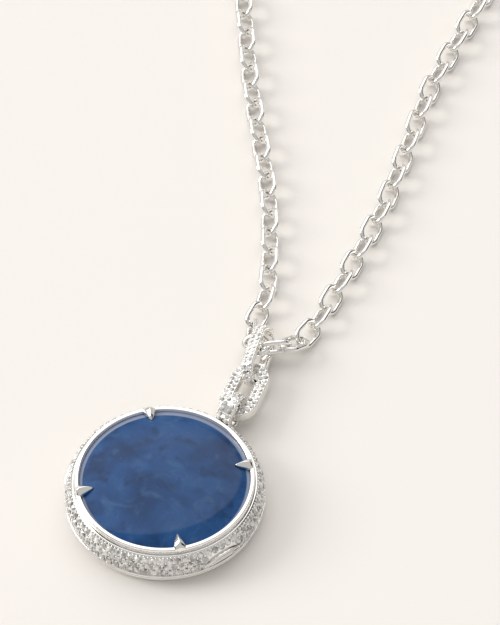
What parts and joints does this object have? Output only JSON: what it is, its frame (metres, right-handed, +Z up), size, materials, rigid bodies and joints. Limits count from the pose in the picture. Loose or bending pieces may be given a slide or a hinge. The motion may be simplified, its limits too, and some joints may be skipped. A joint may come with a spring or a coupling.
{
  "type": "pendant necklace",
  "caption": "Necklace of oval chain links with a round blue cabochon pendant in a stone-set wall, held by a tapered loop, an oval link and a bail.",
  "frame": {"origin": "centre of the pendant's flat back, on the surface the necklace lies on", "axes": "+Z up, out of the stone's face; +Y from the pendant towards the clasp end of the chain, +X to the right seen from the pendant's side"},
  "size_m": [0.0894, 0.2129, 0.0072],
  "materials": {
    "polished_silver": "mirror polished with fine wear",
    "melee_stone": "clear faceted",
    "clear_cap": "clear polished",
    "blue_layer": "polished, mottled"
  },
  "bodies": {
    "chain_centre": {"chain_centre": "polished_silver"},
    "bail": {"bail": "polished_silver", "bail_melee": "melee_stone"},
    "middle_link": {"middle_link": "polished_silver", "link_melee": "melee_stone"},
    "pendant": {"base_rim": "polished_silver", "rim_lip": "polished_silver", "halo_frame": "polished_silver", "bezel_ring": "polished_silver", "cabochon_layer": "blue_layer", "leaf_right": "polished_silver", "leaf_left": "polished_silver", "cabochon_cap": "clear_cap", "back_gallery": "polished_silver", "claw_1": "polished_silver", "claw_2": "polished_silver", "claw_3": "polished_silver", "claw_4": "polished_silver", "wall_melee_low": "melee_stone", "wall_melee_middle": "melee_stone", "wall_melee_high": "melee_stone", "pendant_loop": "polished_silver", "loop_melee": "melee_stone"},
    "chain_left_1": {"chain_left_1": "polished_silver"},
    "chain_left_2": {"chain_left_2": "polished_silver"},
    "chain_left_3": {"chain_left_3": "polished_silver"},
    "chain_left_4": {"chain_left_4": "polished_silver"},
    "chain_right_1": {"chain_right_1": "polished_silver"},
    "chain_right_2": {"chain_right_2": "polished_silver"},
    "chain_right_3": {"chain_right_3": "polished_silver"},
    "chain_right_4": {"chain_right_4": "polished_silver"},
    "end_ring": {"end_ring": "polished_silver"},
    "jump_ring": {"jump_ring": "polished_silver"},
    "clasp": {"clasp_body": "polished_silver", "clasp_pin": "polished_silver", "clasp_spring": "polished_silver"},
    "clasp_lever": {"clasp_lever": "polished_silver"}
  },
  "joints": [
    {"name": "bail_swing", "type": "hinge", "parent": "chain_centre", "child": "bail", "pos_m": [0.01306, 0.02352, 0.00256], "axis": [0.8986, -0.2747, 0.342], "range_deg": [-8, 8]},
    {"name": "link_swing", "type": "hinge", "parent": "bail", "child": "middle_link", "pos_m": [0.01229, 0.02002, 0.00233], "axis": [0.9109, -0.3942, 0.1219], "range_deg": [-12, 12]},
    {"name": "pendant_swing", "type": "hinge", "parent": "middle_link", "child": "pendant", "pos_m": [0.00909, 0.01298, 0.00265], "axis": [0.8191, -0.5736, 0], "range_deg": [-25, 25]},
    {"name": "left_bend_1", "type": "hinge", "parent": "chain_centre", "child": "chain_left_1", "pos_m": [0.0144, 0.03848, 0.0013], "axis": [0, 0, 1], "range_deg": [-2, 20]},
    {"name": "left_bend_2", "type": "hinge", "parent": "chain_left_1", "child": "chain_left_2", "pos_m": [0.01176, 0.08255, 0.0013], "axis": [0, 0, 1], "range_deg": [-6, 20]},
    {"name": "left_bend_3", "type": "hinge", "parent": "chain_left_2", "child": "chain_left_3", "pos_m": [-0.00888, 0.1192, 0.0013], "axis": [0, 0, 1], "range_deg": [-3, 18]},
    {"name": "left_bend_4", "type": "hinge", "parent": "chain_left_3", "child": "chain_left_4", "pos_m": [0.00258, 0.15846, 0.0013], "axis": [0, 0, 1], "range_deg": [-3, 18]},
    {"name": "right_bend_1", "type": "hinge", "parent": "chain_centre", "child": "chain_right_1", "pos_m": [0.02352, 0.03454, 0.00132], "axis": [0, 0, 1], "range_deg": [-20, 2]},
    {"name": "right_bend_2", "type": "hinge", "parent": "chain_right_1", "child": "chain_right_2", "pos_m": [0.03971, 0.0756, 0.0013], "axis": [0, 0, 1], "range_deg": [-20, 6]},
    {"name": "right_bend_3", "type": "hinge", "parent": "chain_right_2", "child": "chain_right_3", "pos_m": [0.05595, 0.11652, 0.0013], "axis": [0, 0, 1], "range_deg": [-18, 3]},
    {"name": "right_bend_4", "type": "hinge", "parent": "chain_right_3", "child": "chain_right_4", "pos_m": [0.04707, 0.15799, 0.0013], "axis": [0, 0, 1], "range_deg": [-18, 3]},
    {"name": "end_ring_swing", "type": "hinge", "parent": "chain_left_4", "child": "end_ring", "pos_m": [0.00915, 0.19047, 0.0013], "axis": [0, 0, 1], "range_deg": [-20, 20]},
    {"name": "jump_ring_swing", "type": "hinge", "parent": "chain_right_4", "child": "jump_ring", "pos_m": [0.06149, 0.19455, 0.0013], "axis": [0, 0, 1], "range_deg": [-15, 15]},
    {"name": "clasp_swing", "type": "hinge", "parent": "jump_ring", "child": "clasp", "pos_m": [0.0641, 0.19503, 0.0012], "axis": [0, 0, 1], "range_deg": [-15, 15]},
    {"name": "lever_press", "type": "hinge", "parent": "clasp", "child": "clasp_lever", "pos_m": [0.06943, 0.19425, 0.0012], "axis": [0, 0, 1], "range_deg": [0, 32], "stiffness_Nm_per_rad": 0.0004, "springref_deg": -17.19, "deforming": ["clasp_spring"]}
  ]
}
